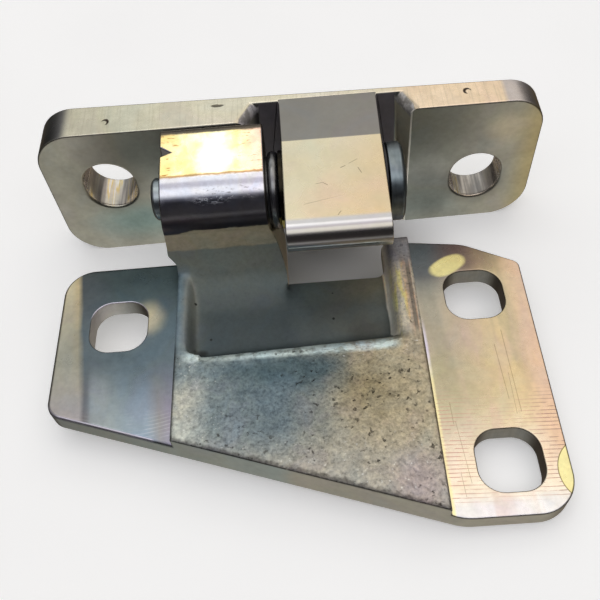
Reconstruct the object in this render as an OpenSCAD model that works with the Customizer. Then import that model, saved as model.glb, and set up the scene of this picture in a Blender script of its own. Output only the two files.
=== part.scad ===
// Bolt-on door hinge for a heavy vehicle: a cast pillar leaf with one
// barrel, a forged door leaf with one knuckle, and a headed pin.
// Millimetres. +X runs along the pin, +Z away from the pillar, +Y towards
// the door leaf. The origin is on the pillar leaf's mounting face.

/* [Pin] */
// Distance of the pin axis behind the origin
axis_y = 44; // [43:0.5:45]
// Height of the pin axis above the mounting face
axis_z = 25; // [24.5:0.5:26]
// Pin diameter
pin_d = 11; // [10:0.5:11.5]
// Diameter of the pin's head
head_d = 20; // [17:0.5:21]
// Thickness of the pin's head
head_t = 3.9; // [2:0.05:4]

/* [Pillar leaf] */
// Thickness of the machined wings
wing_t = 5.7; // [5:0.1:7]
// Thickness of the as-cast centre
slab_t = 9; // [8:0.25:10]
// Left side of the as-cast centre
slab_x0 = -29; // [-30:0.5:-28]
// Right side of the as-cast centre
slab_x1 = 33; // [32:0.5:34]
// Width of the rounded square bolt holes
hole_w = 15; // [13:0.5:16]
// Corner radius of those holes
hole_r = 5.5; // [4:0.5:6]
// Outer diameter of the barrel
barrel_d = 20.4; // [20:0.2:21]
// Right end of the barrel
barrel_x1 = -3.2; // [-4:0.2:-3]
// Rise of the barrel's machined flat towards the back, in degrees
flat_rise = 12.7; // [8:0.1:14]
// Height of the pocket floor under the arm
floor_z = 4.2; // [3.6:0.2:5]
// Radius of the cove between the pocket floor and the barrel
cove_r = 14; // [12:0.5:15]
// Slant of the pocket's front lip, in degrees
lip_slant = 2.5; // [0:0.5:4]

/* [Door leaf] */
// Distance from the pin axis to the plate's front face
plate_gap = 14; // [14:0.25:15]
// Height of the plate's top edge above the pin axis
plate_up = 11; // [10.5:0.25:12]
// Plate thickness at its left end
plate_t0 = 11.2; // [10:0.2:13]
// Plate thickness at its right end
plate_t1 = 8.2; // [8:0.2:10]
// Width of the door leaf's oblong holes
slot_w = 14; // [12:0.5:15]
// Length of the door leaf's oblong holes
slot_l = 16.5; // [15.5:0.5:18]
// Outer diameter of the knuckle
knuckle_d = 21; // [20.5:0.25:22]
// Left side of the arm
arm_x0 = 1.3; // [1.2:0.1:1.6]
// Width of the arm
arm_w = 25.1; // [24:0.1:25.3]
// Fall of the arm's flat towards its nose, in degrees
arm_fall = 4.6; // [3:0.1:6]
// Reach of the arm's flat in front of the pin axis
nose_reach = 18.2; // [15:0.2:19]
// Radius of the nose
nose_r = 4.4; // [3.8:0.1:5]

/* [Bushes and ring] */
// Wall of the bushes
bush_wall = 1.25; // [1:0.05:1.5]
// Radial running clearance of the pin in the bushes
run_gap = 0.05; // [0.02:0.01:0.1]
// Outer diameter of the seal ring
ring_d = 20; // [18:0.2:20.2]

/* [Hidden] */
$fn = 96;
e = 0.5;
// arcs stand this far proud of the straight edges they join, so that each joint is a clean crossing
blend = 0.01;
arm_x1 = arm_x0 + arm_w;
plate_y = axis_y + plate_gap;
plate_z1 = axis_z + plate_up;
plate_x0 = -64.5;
plate_x1 = 70;
slot_y = plate_y + 7.5;
bush_r = pin_d / 2 + run_gap + bush_wall;

// outline of the pillar leaf and the radius of each corner
leaf_pts = [[-60.5, 37.5], [-60.5, -5.7], [36, -38], [61.2, -38], [61.4, 29.8], [47.5, 37.1], [33, 39.1], [-29, 37.8]];
leaf_rad = [8, 5, 14, 9, 2.5, 14, 0, 0];
leaf_holes = [[-44.5, 18.5], [48, 20.5], [48, -25]];

// outline of the door leaf's plate in X and Z
plate_pts = [[plate_x0, plate_z1], [plate_x0, -10.5], [plate_x1, -7], [plate_x1, plate_z1]];
plate_rad = [11, 11, 11, 9];
plate_holes = [[-47.5, 16.6], [54.4, 9.5]];

function unit(v) = v / norm(v);
function half_angle(p, a, b) = acos(unit(a - p) * unit(b - p)) / 2;

// convex outline with a true arc at each corner
module rounded_outline(pts, rad) {
    n = len(pts);
    polygon([for (i = [0 : n - 1])
        let (p = pts[i], a = pts[(i + n - 1) % n], b = pts[(i + 1) % n],
             l = rad[i] / tan(half_angle(p, a, b)))
        each rad[i] > 0 ? [p + unit(a - p) * l, p + unit(b - p) * l] : [p]]);
    for (i = [0 : n - 1]) if (rad[i] > 0) {
        p = pts[i];
        a = pts[(i + n - 1) % n];
        b = pts[(i + 1) % n];
        translate(p + unit(unit(a - p) + unit(b - p)) * rad[i] / sin(half_angle(p, a, b)))
            circle(r = rad[i] + blend);
    }
}

// a Y-Z profile run along X
module along_x(x0, x1) translate([x0, 0, 0]) rotate([90, 0, 90]) linear_extrude(x1 - x0) children();

// an X-Z outline run along Y
module along_y(y0, y1) translate([0, y1, 0]) rotate([90, 0, 0]) linear_extrude(y1 - y0) children();

// a round bar on the pin axis
module on_axis(x0, x1, r) translate([x0, axis_y, axis_z]) rotate([0, 90, 0]) cylinder(h = x1 - x0, r = r);

// a turned profile [radius, x] on the pin axis
module turned(pts) translate([0, axis_y, axis_z]) rotate([0, 90, 0]) rotate_extrude() polygon(pts);

module rounded_square(w, r) {
    square([w, w - 2 * r], center = true);
    square([w - 2 * r, w], center = true);
    for (x = [-1, 1], y = [-1, 1]) translate([x, y] * (w / 2 - r)) circle(r = r);
}

// recess under the arm: sloping sides, rounded front corners and a rounded lip
module pocket() intersection() {
    translate([0, 0, -1]) linear_extrude(slab_t + 2) {
        translate([-22.6, 0]) square([47, 60]);
        translate([-27, 10]) square([55, 50]);
        for (x = [-22.6, 24.4]) translate([x, 10]) circle(r = 3.6);
    }
    along_y(0, 60) polygon([[-26.4, slab_t + 1], [-24.6, floor_z - 1], [25.9, floor_z - 1], [27.7, slab_t + 1]]);
    rotate([0, 0, lip_slant]) along_x(-45, 45) translate([7.5, 0]) {
        polygon([[0, slab_t - 3], [2.1, floor_z - 1], [13, floor_z], [50, floor_z], [50, slab_t + 1], [0, slab_t + 1]]);
        difference() {
            translate([-3, slab_t - 3]) square([3.1, 4]);
            translate([-3, slab_t - 3]) circle(r = 3);
        }
    }
}

// plate and raised centre of the pillar leaf
module leaf_body() difference() {
    union() {
        linear_extrude(wing_t) rounded_outline(leaf_pts, leaf_rad);
        intersection() {
            linear_extrude(slab_t) rounded_outline(leaf_pts, leaf_rad);
            translate([slab_x0, -60, -1]) cube([slab_x1 - slab_x0, 120, slab_t + 2]);
        }
    }
    pocket();
}

// web that carries the barrel over the back edge, with a cove at its foot, a flare at its left end and a slanted right end
module web() {
    front = axis_y - 9.6;
    foot = front - cove_r;
    difference() {
        along_x(slab_x0 - 1.8, 0) difference() {
            polygon([[foot, 2], [38.5, 0], [40, 3], [axis_y + 3, 12], [axis_y + 8.5, 19], [axis_y + 10, axis_z],
                     [axis_y, axis_z], [front, 22], [front, floor_z + cove_r], [foot, floor_z]]);
            translate([foot, floor_z + cove_r]) circle(r = cove_r);
        }
        along_y(0, 70) polygon([[slab_x0, -5], [slab_x0, 11.2], [slab_x0 - 1.8, 13.6], [slab_x0 - 8, 13.6], [slab_x0 - 8, -5]]);
        // right end, leaning back to the barrel's end
        along_y(28, 70) polygon([[0.3, 6.6], [barrel_x1, 22], [barrel_x1, 40], [5, 40], [5, 6.6]]);
    }
}

// barrel with a machined flat that rises towards the back and a rounded back edge
module barrel() {
    r = barrel_d / 2;
    back_r = 2.6;
    up = [-sin(flat_rise), cos(flat_rise)];
    back = [cos(flat_rise), sin(flat_rise)];
    c = [axis_y, axis_z];
    end_c = c + up * (r - back_r) + back * 12.2;
    on_axis(slab_x0 - 1.8, barrel_x1, r);
    along_x(slab_x0 - 1.8, barrel_x1) {
        polygon([c, c + up * r, end_c + up * back_r, end_c, end_c + [back_r, 0], [end_c[0] + back_r, axis_z + 3], [axis_y + 10, axis_z - 1]]);
        translate(end_c) circle(r = back_r);
    }
}

// drafted left end of the barrel and web, with a V-shaped nick in the flat's edge
module barrel_end() {
    translate([slab_x0 - 0.2, 0, 35]) rotate([0, 4.4, 0]) translate([-20, 25, -24]) cube([20, 60, 50]);
    translate([0, 0, 32.5]) linear_extrude(12) polygon([[-26.4, 48.75], [-33, 52.9], [-33, 46.2]]);
}

module pillar_leaf() color([0.66, 0.63, 0.53]) difference() {
    union() {
        leaf_body();
        difference() {
            union() {
                web();
                barrel();
            }
            barrel_end();
        }
    }
    // room for the ring and the bush's flange beside the barrel
    on_axis(barrel_x1, e, barrel_d / 2);
    // notch under the arm, open to the back
    translate([0, 29, -1]) linear_extrude(30) {
        translate([0, 0]) square([23.5, 30]);
        translate([0, 2.5]) square([26, 30]);
        translate([23.5, 2.5]) circle(r = 2.5);
    }
    for (p = leaf_holes) translate([p[0], p[1], -1]) linear_extrude(slab_t + 2) rounded_square(hole_w, hole_r);
    on_axis(slab_x0 - 3, barrel_x1 + 1, pin_d / 2);
}

// plate with the sloping back face and the two relief slots beside the arm
module plate() difference() {
    along_y(plate_y, plate_y + plate_t0 + 2) rounded_outline(plate_pts, plate_rad);
    // back face, thinner towards the right end
    translate([plate_x0, plate_y + plate_t0, 0])
        rotate([0, 0, -atan((plate_t0 - plate_t1) / (plate_x1 - plate_x0))])
            translate([-30, 0, -60]) cube([220, 30, 140]);
    // relief slots, shallower towards the bottom
    difference() {
        translate([0, 0, -30]) linear_extrude(90) {
            polygon([[-8.9, plate_y - 1], [arm_x0, plate_y - 1], [arm_x0, slot_y], [-4.1, slot_y]]);
            polygon([[arm_x1, plate_y - 1], [35.5, plate_y - 1], [31.5, slot_y], [arm_x1, slot_y]]);
        }
        translate([-60, slot_y - 0.5, plate_z1]) rotate([-5, 0, 0]) translate([0, 0, -80]) cube([150, 20, 100]);
    }
    // room for the arm's top in front of the thin web
    translate([arm_x0, plate_y - 1, plate_z1 - 5]) cube([arm_w, slot_y - plate_y + 1, 10]);
    // bolt holes
    for (p = plate_holes) along_y(plate_y - 1, plate_y + 20) translate(p) {
        square([slot_w, slot_l - slot_w], center = true);
        for (s = [-1, 1]) translate([0, s * (slot_l - slot_w) / 2]) circle(r = slot_w / 2);
    }
}

// arm from the plate over the pin to the nose
module arm() {
    r = knuckle_d / 2;
    c = [axis_y, axis_z];
    up = [-sin(arm_fall), cos(arm_fall)];
    back = [cos(arm_fall), sin(arm_fall)];
    flat_b = c + up * r + back * 6.6;
    flat_f = c + up * r - back * nose_reach;
    nose_c = flat_f - up * nose_r;
    // lower tangent of nose and knuckle
    d = unit(c - nose_c);
    k = (nose_r - r) / norm(c - nose_c);
    low = d * k + [d[1], -d[0]] * sqrt(1 - k * k);
    along_x(arm_x0, arm_x1) {
        circle_at(c, r + blend);
        circle_at(nose_c, nose_r + blend);
        polygon([flat_b, flat_f, nose_c, nose_c + low * nose_r, c + low * r, c]);
        difference() {
            polygon([flat_b, c, c - [0, r], [plate_y, axis_z - r], [plate_y, axis_z - r - 6], [plate_y + 2, axis_z - r - 6],
                     [plate_y + 2, axis_z], [slot_y + 0.6, axis_z], [slot_y + 0.6, plate_z1 - 3], [slot_y, plate_z1 - 0.1]]);
            circle_at([plate_y - 6, axis_z - r - 6], 6);
        }
        difference() {
            polygon([[plate_y - 7, axis_z - r + 1], [plate_y + 1, axis_z - r + 1], [plate_y + 1, axis_z - r - 6], [plate_y, axis_z - r - 6], [plate_y - 6, axis_z - r], [plate_y - 7, axis_z - r]]);
            circle_at([plate_y - 6, axis_z - r - 6], 6);
        }
    }
}

module circle_at(p, r) translate(p) circle(r = r);

module door_leaf() color([0.74, 0.70, 0.60]) difference() {
    union() {
        plate();
        arm();
    }
    on_axis(arm_x0 - 1, arm_x1 + 1, bush_r);
}

module hinge_pin() color([0.36, 0.40, 0.40]) {
    r = pin_d / 2;
    h = head_d / 2;
    x0 = slab_x0 - 3.5;
    x1 = arm_x1 + 0.95;
    turned([[0, x0], [r - 0.8, x0], [r, x0 + 0.8], [r, x1], [h, x1], [h, x1 + head_t - 0.7], [h - 0.7, x1 + head_t],
            [r - 0.2, x1 + head_t], [r - 0.6, x1 + head_t + 0.8], [0, x1 + head_t + 0.8]]);
}

module inner_bush() color([0.80, 0.62, 0.20]) {
    r = pin_d / 2 + run_gap;
    turned([[r, 0.2], [10, 0.2], [10, arm_x0], [bush_r, arm_x0], [bush_r, 13.5], [r, 13.5]]);
}

module outer_bush() color([0.10, 0.10, 0.11]) {
    r = pin_d / 2 + run_gap;
    turned([[r, 14.2], [bush_r, 14.2], [bush_r, arm_x1], [9.7, arm_x1], [9.7, arm_x1 + 0.75], [r, arm_x1 + 0.75]]);
}

module seal_ring() color([0.05, 0.05, 0.06]) difference() {
    bead = 1.3;
    union() {
        on_axis(barrel_x1, 0, ring_d / 2 - bead);
        translate([0.05 - bead, axis_y, axis_z]) rotate([0, 90, 0]) rotate_extrude()
            translate([ring_d / 2 - bead, 0]) circle(r = bead, $fn = 48);
    }
    on_axis(barrel_x1 - 1, 1, pin_d / 2 + run_gap);
}

pillar_leaf();
door_leaf();
hinge_pin();
inner_bush();
outer_bush();
seal_ring();
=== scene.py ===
import math

import bmesh
import bpy
import numpy as np
from mathutils import Matrix, Vector, noise


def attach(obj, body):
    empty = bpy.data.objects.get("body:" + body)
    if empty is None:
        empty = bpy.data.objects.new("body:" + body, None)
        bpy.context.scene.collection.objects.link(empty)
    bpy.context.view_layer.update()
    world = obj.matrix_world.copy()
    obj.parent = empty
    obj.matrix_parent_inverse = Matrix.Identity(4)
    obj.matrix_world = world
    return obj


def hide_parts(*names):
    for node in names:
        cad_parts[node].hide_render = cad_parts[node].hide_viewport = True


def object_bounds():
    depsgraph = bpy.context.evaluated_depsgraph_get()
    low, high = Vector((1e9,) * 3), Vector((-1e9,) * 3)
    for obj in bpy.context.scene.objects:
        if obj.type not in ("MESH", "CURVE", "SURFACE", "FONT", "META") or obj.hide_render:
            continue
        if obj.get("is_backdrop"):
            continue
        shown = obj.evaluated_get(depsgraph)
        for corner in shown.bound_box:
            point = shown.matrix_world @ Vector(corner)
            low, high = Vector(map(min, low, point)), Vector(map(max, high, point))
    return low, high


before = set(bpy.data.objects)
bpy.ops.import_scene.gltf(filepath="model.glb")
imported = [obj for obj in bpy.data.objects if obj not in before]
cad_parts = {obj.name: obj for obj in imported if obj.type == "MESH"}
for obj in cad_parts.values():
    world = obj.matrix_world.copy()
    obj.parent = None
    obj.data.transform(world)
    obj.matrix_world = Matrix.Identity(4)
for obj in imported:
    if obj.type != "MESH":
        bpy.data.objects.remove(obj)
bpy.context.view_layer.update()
scene = bpy.context.scene
MM = 0.001
AXIS_Y, AXIS_Z = 44.0, 25.0


# ---------------------------------------------------------------- camera
cam = bpy.data.objects.new("camera", bpy.data.cameras.new("camera"))
scene.collection.objects.link(cam)
cam.data.sensor_width = 36.0
cam.data.lens = 45.565
cam.data.clip_start, cam.data.clip_end = 0.01, 20.0
right = Vector((0.996921, -0.047538, -0.062364))
up = Vector((0.074572, 0.820682, 0.566488))
back = Vector((0.024251, -0.569394, 0.821700))
cam.matrix_world = Matrix.Translation(Vector((7.761, -90.546, 168.945)) * MM) @ Matrix((right, up, back)).transposed().to_4x4()
scene.camera = cam
scene.view_settings.view_transform = "Standard"
scene.view_settings.look = "None"


# ---------------------------------------------------------------- node helpers
class Tree:
    """A node tree with short calls for the few kinds of node used below."""

    def __init__(self, tree):
        self.t = tree
        self.t.nodes.clear()
        self.cache = {}

    def add(self, kind, **props):
        n = self.t.nodes.new(kind)
        for k, v in props.items():
            setattr(n, k, v)
        return n

    def put(self, socket, value):
        if isinstance(value, bpy.types.NodeSocket):
            self.t.links.new(value, socket)
        elif value is not None:
            socket.default_value = value

    def coords(self, kind):
        if kind not in self.cache:
            self.cache[kind] = self.add("ShaderNodeTexCoord").outputs[kind]
        return self.cache[kind]

    def vec(self, op, a, b=None, c=None):
        n = self.add("ShaderNodeVectorMath", operation=op)
        for i, v in enumerate((a, b, c)):
            if v is not None:
                self.put(n.inputs[i], v)
        return n.outputs["Value"] if op in ("LENGTH", "DOT_PRODUCT", "DISTANCE") else n.outputs["Vector"]

    def math(self, op, a, b=None, c=None, clamp=False):
        n = self.add("ShaderNodeMath", operation=op, use_clamp=clamp)
        for i, v in enumerate((a, b, c)):
            if v is not None:
                self.put(n.inputs[i], v)
        return n.outputs[0]

    def span(self, v, a, b, c=0.0, d=1.0, smooth=True):
        n = self.add("ShaderNodeMapRange", interpolation_type="SMOOTHSTEP" if smooth else "LINEAR")
        for k, x in zip(("Value", "From Min", "From Max", "To Min", "To Max"), (v, a, b, c, d)):
            self.put(n.inputs[k], x)
        return n.outputs["Result"]

    def mm(self):
        """Object coordinates in millimetres."""
        if "mm" not in self.cache:
            self.cache["mm"] = self.vec("MULTIPLY", self.coords("Object"), (1000.0, 1000.0, 1000.0))
        return self.cache["mm"]

    def xyz(self):
        if "xyz" not in self.cache:
            n = self.add("ShaderNodeSeparateXYZ")
            self.put(n.inputs[0], self.mm())
            self.cache["xyz"] = (n.outputs[0], n.outputs[1], n.outputs[2])
        return self.cache["xyz"]

    def nxyz(self):
        if "nxyz" not in self.cache:
            n = self.add("ShaderNodeSeparateXYZ")
            self.put(n.inputs[0], self.coords("Normal"))
            self.cache["nxyz"] = (n.outputs[0], n.outputs[1], n.outputs[2])
        return self.cache["nxyz"]

    def scaled(self, size, shift=(0.0, 0.0, 0.0)):
        """Coordinates in which one unit is size millimetres along each axis."""
        s = size if isinstance(size, tuple) else (size, size, size)
        return self.vec("MULTIPLY_ADD", self.mm(), tuple(1.0 / k for k in s), shift)

    def noise(self, size, detail=3.0, rough=0.5, twist=0.0, shift=(0.0, 0.0, 0.0), kind="FBM"):
        n = self.add("ShaderNodeTexNoise", noise_dimensions="3D", noise_type=kind)
        self.put(n.inputs["Vector"], self.scaled(size, shift))
        n.inputs["Scale"].default_value = 1.0
        n.inputs["Detail"].default_value = detail
        n.inputs["Roughness"].default_value = rough
        n.inputs["Distortion"].default_value = twist
        return n.outputs["Fac"]

    def cells(self, size, feature="F1", shift=(0.0, 0.0, 0.0), jitter=1.0, out="Distance"):
        n = self.add("ShaderNodeTexVoronoi", feature=feature)
        self.put(n.inputs["Vector"], self.scaled(size, shift))
        n.inputs["Scale"].default_value = 1.0
        n.inputs["Randomness"].default_value = jitter
        return n.outputs[out]

    def ramp(self, fac, *stops):
        n = self.add("ShaderNodeValToRGB")
        while len(n.color_ramp.elements) < len(stops):
            n.color_ramp.elements.new(0.5)
        for el, (pos, col) in zip(n.color_ramp.elements, stops):
            el.position = pos
            el.color = (*col, 1.0)
        self.put(n.inputs["Fac"], fac)
        return n.outputs["Color"]

    def mix(self, fac, a, b, mode="MIX"):
        n = self.add("ShaderNodeMix", data_type="RGBA", blend_type=mode)
        self.put(n.inputs[0], fac)
        for i, v in ((6, a), (7, b)):
            self.put(n.inputs[i], (*v, 1.0) if isinstance(v, tuple) else v)
        return n.outputs[2]

    def lerp(self, fac, a, b):
        n = self.add("ShaderNodeMix", data_type="FLOAT")
        for i, v in ((0, fac), (2, a), (3, b)):
            self.put(n.inputs[i], v)
        return n.outputs[0]

    def spot(self, centre, radii, soft=0.6, wobble=0.0, size=6.0):
        """1 inside an ellipsoid in millimetres, fading to 0 over the share soft of its radius."""
        p = self.vec("SUBTRACT", self.mm(), centre)
        d = self.vec("LENGTH", self.vec("DIVIDE", p, radii))
        if wobble:
            d = self.math("MULTIPLY_ADD", self.noise(size, 2.0), wobble * 2, self.math("SUBTRACT", d, wobble))
        return self.span(d, 1.0, 1.0 - soft)

    def stroke(self, a, b, wide):
        """1 on a straight scratch from a to b, wide millimetres each side, fading to its edge."""
        a, b = Vector(a), Vector(b)
        p = self.vec("SUBTRACT", self.mm(), tuple(a))
        along = self.math("DIVIDE", self.vec("DOT_PRODUCT", p, tuple(b - a)), (b - a).length_squared, clamp=True)
        n = self.add("ShaderNodeVectorMath", operation="SCALE")
        n.inputs[0].default_value = tuple(b - a)
        self.put(n.inputs["Scale"], along)
        d = self.vec("LENGTH", self.vec("SUBTRACT", p, n.outputs[0]))
        return self.span(d, wide, wide * 0.3)

    def any(self, *masks):
        m = masks[0]
        for k in masks[1:]:
            m = self.math("MAXIMUM", m, k)
        return m

    def both(self, *masks):
        m = masks[0]
        for k in masks[1:]:
            m = self.math("MULTIPLY", m, k)
        return m

    def bump(self, height, strength, distance, normal=None):
        n = self.add("ShaderNodeBump")
        n.inputs["Strength"].default_value = strength
        n.inputs["Distance"].default_value = distance * MM
        self.put(n.inputs["Height"], height)
        if normal is not None:
            self.put(n.inputs["Normal"], normal)
        return n.outputs["Normal"]


def material(name):
    m = bpy.data.materials.new(name)
    m.use_nodes = True
    t = Tree(m.node_tree)
    out = t.add("ShaderNodeOutputMaterial")
    bsdf = t.add("ShaderNodeBsdfPrincipled")
    t.t.links.new(bsdf.outputs[0], out.inputs[0])
    return m, t, bsdf


def rgb(r, g, b):
    """A colour given as screen values from 0 to 255."""
    return tuple((c / 255 / 12.92) if c <= 10.3 else ((c / 255 + 0.055) / 1.055) ** 2.4 for c in (r, g, b))


# ---------------------------------------------------------------- stage and light
def floor_z(x, y):
    return -10.35 + 0.0259 * (x + 53) + 0.0739 * (66 - y)


def stage_mesh(name, verts, faces):
    me = bpy.data.meshes.new(name)
    me.from_pydata([Vector(v) * MM for v in verts], [], faces)
    o = bpy.data.objects.new(name, me)
    scene.collection.objects.link(o)
    o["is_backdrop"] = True
    return o


ring = [(20 + 1500 * math.cos(k * math.pi / 24), 10 + 1500 * math.sin(k * math.pi / 24)) for k in range(48)]
floor = stage_mesh("floor", [(x, y, floor_z(x, y)) for x, y in ring], [list(range(48))])
m, t, b = material("pale_floor")
t.put(b.inputs["Base Color"], t.ramp(t.noise(60.0, 2.0), (0.3, (0.90, 0.90, 0.89)), (0.7, (0.93, 0.93, 0.92))))
b.inputs["Roughness"].default_value = 0.9
b.inputs["Emission Color"].default_value = (1.0, 1.0, 1.0, 1.0)
# the floor glows evenly except in an oval under the hinge, where the glow fades out so the floor shows darker: painted
# shade
t.put(b.inputs["Emission Strength"], t.math("MULTIPLY_ADD", t.spot((13.0, 44.0, -8.0), (40.0, 30.0, 30.0), 0.7), -0.30, 0.30))
floor.data.materials.append(m)
floor.visible_glossy = False

dome_bm = bmesh.new()
bmesh.ops.create_uvsphere(dome_bm, u_segments=48, v_segments=24, radius=4.0)
dome = stage_mesh("backdrop", [], [])
dome_bm.to_mesh(dome.data)
dome_bm.free()
m, t, b = material("pale_backdrop")
b.inputs["Base Color"].default_value = (0.0, 0.0, 0.0, 1.0)
b.inputs["Specular IOR Level"].default_value = 0.0
b.inputs["Emission Color"].default_value = (1.0, 1.0, 1.0, 1.0)
b.inputs["Emission Strength"].default_value = 0.97
dome.data.materials.append(m)
dome.visible_glossy = dome.visible_diffuse = dome.visible_shadow = dome.visible_transmission = False

# light from all round: bright overhead, falling off to the back, dark in front, warm brown below
world = bpy.data.worlds.new("studio")
world.use_nodes = True
scene.world = world
w = Tree(world.node_tree)
w_out = w.add("ShaderNodeOutputWorld")
w_bg = w.add("ShaderNodeBackground")
w.t.links.new(w_bg.outputs[0], w_out.inputs[0])
d = w.add("ShaderNodeSeparateXYZ")
w.put(d.inputs[0], w.coords("Generated"))
turn = w.math("ARCTAN2", w.math("MULTIPLY", d.outputs[1], -1.0), d.outputs[2])
turn = w.span(turn, -math.pi, math.pi, smooth=False)


def at(deg):
    return (deg + 180.0) / 360.0


sky = w.ramp(
    turn,
    (at(-180), (0.13, 0.105, 0.085)),
    (at(-115), (0.08, 0.065, 0.050)),
    (at(-90), (0.12, 0.12, 0.12)),
    (at(-72), (0.20, 0.20, 0.20)),
    (at(-62), (0.34, 0.34, 0.34)),
    (at(-55), (0.64, 0.65, 0.65)),
    (at(-48), (0.72, 0.73, 0.73)),
    (at(-38), (0.54, 0.54, 0.53)),
    (at(-30), (0.56, 0.56, 0.55)),
    (at(-23), (0.80, 0.80, 0.79)),
    (at(-17), (0.92, 0.92, 0.91)),
    (at(-4), (0.92, 0.92, 0.93)),
    (at(3), (0.56, 0.55, 0.60)),
    (at(14), (0.56, 0.55, 0.60)),
    (at(20), (0.90, 0.91, 0.95)),
    (at(35), (0.90, 0.91, 0.95)),
    (at(41), (0.45, 0.46, 0.50)),
    (at(47), (0.09, 0.09, 0.11)),
    (at(56), (0.016, 0.016, 0.020)),
    (at(96), (0.028, 0.026, 0.028)),
    (at(122), (0.42, 0.42, 0.41)),
    (at(150), (0.66, 0.68, 0.67)),
    (at(168), (0.40, 0.37, 0.33)),
    (at(180), (0.13, 0.105, 0.085)),
)
side = w.math("MULTIPLY", w.span(d.outputs[0], -0.30, -0.85, 1.0, 0.16), w.span(d.outputs[0], 0.42, 0.88, 1.0, 0.18))
sky = w.mix(1.0, sky, side, "MULTIPLY")
# a dark flag to the left and a warm cast to the right
flag = w.vec("DOT_PRODUCT", w.coords("Generated"), tuple(Vector((-0.285, 0.53, 0.80)).normalized()))
sky = w.mix(w.span(flag, math.cos(math.radians(13.0)), math.cos(math.radians(4.0)), 0.0, 0.62), sky, (0.06, 0.075, 0.09))
sky = w.mix(w.span(d.outputs[0], -0.12, 0.30), sky, w.mix(1.0, sky, (1.02, 0.98, 0.93), "MULTIPLY"))
w.put(w_bg.inputs["Color"], sky)
w_bg.inputs["Strength"].default_value = 1.4


def softbox(name, place, aim, size, power, tint=(1.0, 1.0, 1.0)):
    d = bpy.data.lights.new(name, "AREA")
    d.shape, d.size, d.size_y = "RECTANGLE", size[0], size[1]
    d.energy, d.color = power, tint
    o = bpy.data.objects.new(name, d)
    scene.collection.objects.link(o)
    o.location = Vector(place)
    o.rotation_euler = (Vector(aim) - Vector(place)).to_track_quat("-Z", "Y").to_euler()
    o.visible_camera = False
    return o


softbox("lamp", (-0.087, 0.259, 0.594), (-0.016, 0.05, 0.037), (0.09, 0.09), 0.054, (1.0, 0.97, 0.90))


# ---------------------------------------------------------------- meshes
def welded(node):
    bm = bmesh.new()
    bm.from_mesh(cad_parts[node].data)
    bmesh.ops.remove_doubles(bm, verts=bm.verts, dist=3e-6)
    bmesh.ops.dissolve_degenerate(bm, dist=3e-6, edges=bm.edges)
    bmesh.ops.dissolve_limit(bm, angle_limit=math.radians(0.4), verts=bm.verts, edges=bm.edges)
    return bm


def rounded(node, name, body, width, segments=3, sharp=24.0):
    """A copy of a CAD node with its edges broken. width(middle, normals, convex, angle) gives each edge's size in millimetres."""
    bm = welded(node)
    weight = bm.edges.layers.float.new("bevel_weight_edge")
    widest = 4.0
    for e in bm.edges:
        if len(e.link_faces) == 2:
            mid = (e.verts[0].co + e.verts[1].co) / 2 / MM
            angle = math.degrees(e.calc_face_angle(0.0))
            size = width(mid, e.link_faces[0].normal, e.link_faces[1].normal, e.is_convex, angle)
            e[weight] = size / widest if size and angle > (sharp if size > 0 else 0) else 0.0
            if size < 0:
                e[weight] = -size / widest
    me = bpy.data.meshes.new(name)
    bm.to_mesh(me)
    bm.free()
    o = bpy.data.objects.new(name, me)
    scene.collection.objects.link(o)
    v = o.modifiers.new("edges", "BEVEL")
    v.limit_method, v.width, v.segments, v.profile = "WEIGHT", widest * MM, segments, 0.5
    v.use_clamp_overlap = False
    bpy.context.view_layer.update()
    done = bpy.data.meshes.new_from_object(o.evaluated_get(bpy.context.evaluated_depsgraph_get()))
    o.modifiers.clear()
    o.data = done
    done.name = name
    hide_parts(node)
    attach(o, body)
    return o


def finish_shading(o):
    bm = bmesh.new()
    bm.from_mesh(o.data)
    for f in bm.faces:
        f.smooth = True
    for e in bm.edges:
        cast = all(f.material_index == CAST for f in e.link_faces)
        e.smooth = cast or len(e.link_faces) != 2 or e.calc_face_angle(0.0) < math.radians(50.0)
    bm.to_mesh(o.data)
    bm.free()
    n = o.modifiers.new("normals", "WEIGHTED_NORMAL")
    n.mode, n.weight, n.keep_sharp = "FACE_AREA", 50, True


LEAF_HOLES = ((-44.5, 18.5), (48, 20.5), (48, -25))


def leaf_width(c, n1, n2, convex, angle):
    x, y, z = c
    on_axis = math.hypot(y - AXIS_Y, z - AXIS_Z)
    if on_axis < 6.5:
        return 0.5
    if z > 10:
        return 0.45 if convex else 0.0
    for hx, hy in LEAF_HOLES:
        if max(abs(x - hx), abs(y - hy)) < 8.2:
            return 0.4
    inside = -28.7 < x < 32.5 and y > -5 and z > 1.0
    if inside and not (y > 37.0 and z > 8.5):
        return 0.0
    if not convex:
        return 0.3
    if z < 0.3:
        return 0.5
    if z > 8.5:
        return 1.4 if y > 37 else 0.7
    return 1.0 if x < -29 else 0.5


def plate_width(c, n1, n2, convex, angle):
    x, y, z = c
    on_axis = math.hypot(y - AXIS_Y, z - AXIS_Z)
    if 48 < y < 52 and z > 35 and 8 < angle < 15:
        return -0.25
    if on_axis < 7.5:
        return 0.3
    if not convex:
        return 0.0 if 1.0 < x < 26.8 and y > 64 and z > 33 else 0.6
    if z > 35 and y > 57 and (-9.5 < x < -3.5 or 31 < x < 36) and abs(n1.x) + abs(n2.x) > 0.5:
        return 2.6
    for hx, hz in ((-47.5, 16.6), (54.4, 9.5)):
        if abs(x - hx) < 7.4 and abs(z - hz) < 8.8:
            return 0.9 if y < 60 else 0.5
    if 1.0 < x < 26.7 and y < 66:
        return 0.35
    return 0.5


CAST, BARREL = 1, 2
pillar = rounded("pillar_leaf", "pillar_casting", "pillar", leaf_width)
door = rounded("door_leaf", "door_forging", "door", plate_width, 4)


def is_barrel(c):
    return math.hypot(c.y - AXIS_Y, c.z - AXIS_Z) < 11.2 or (c.z > 22 and c.y > 36)


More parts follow.
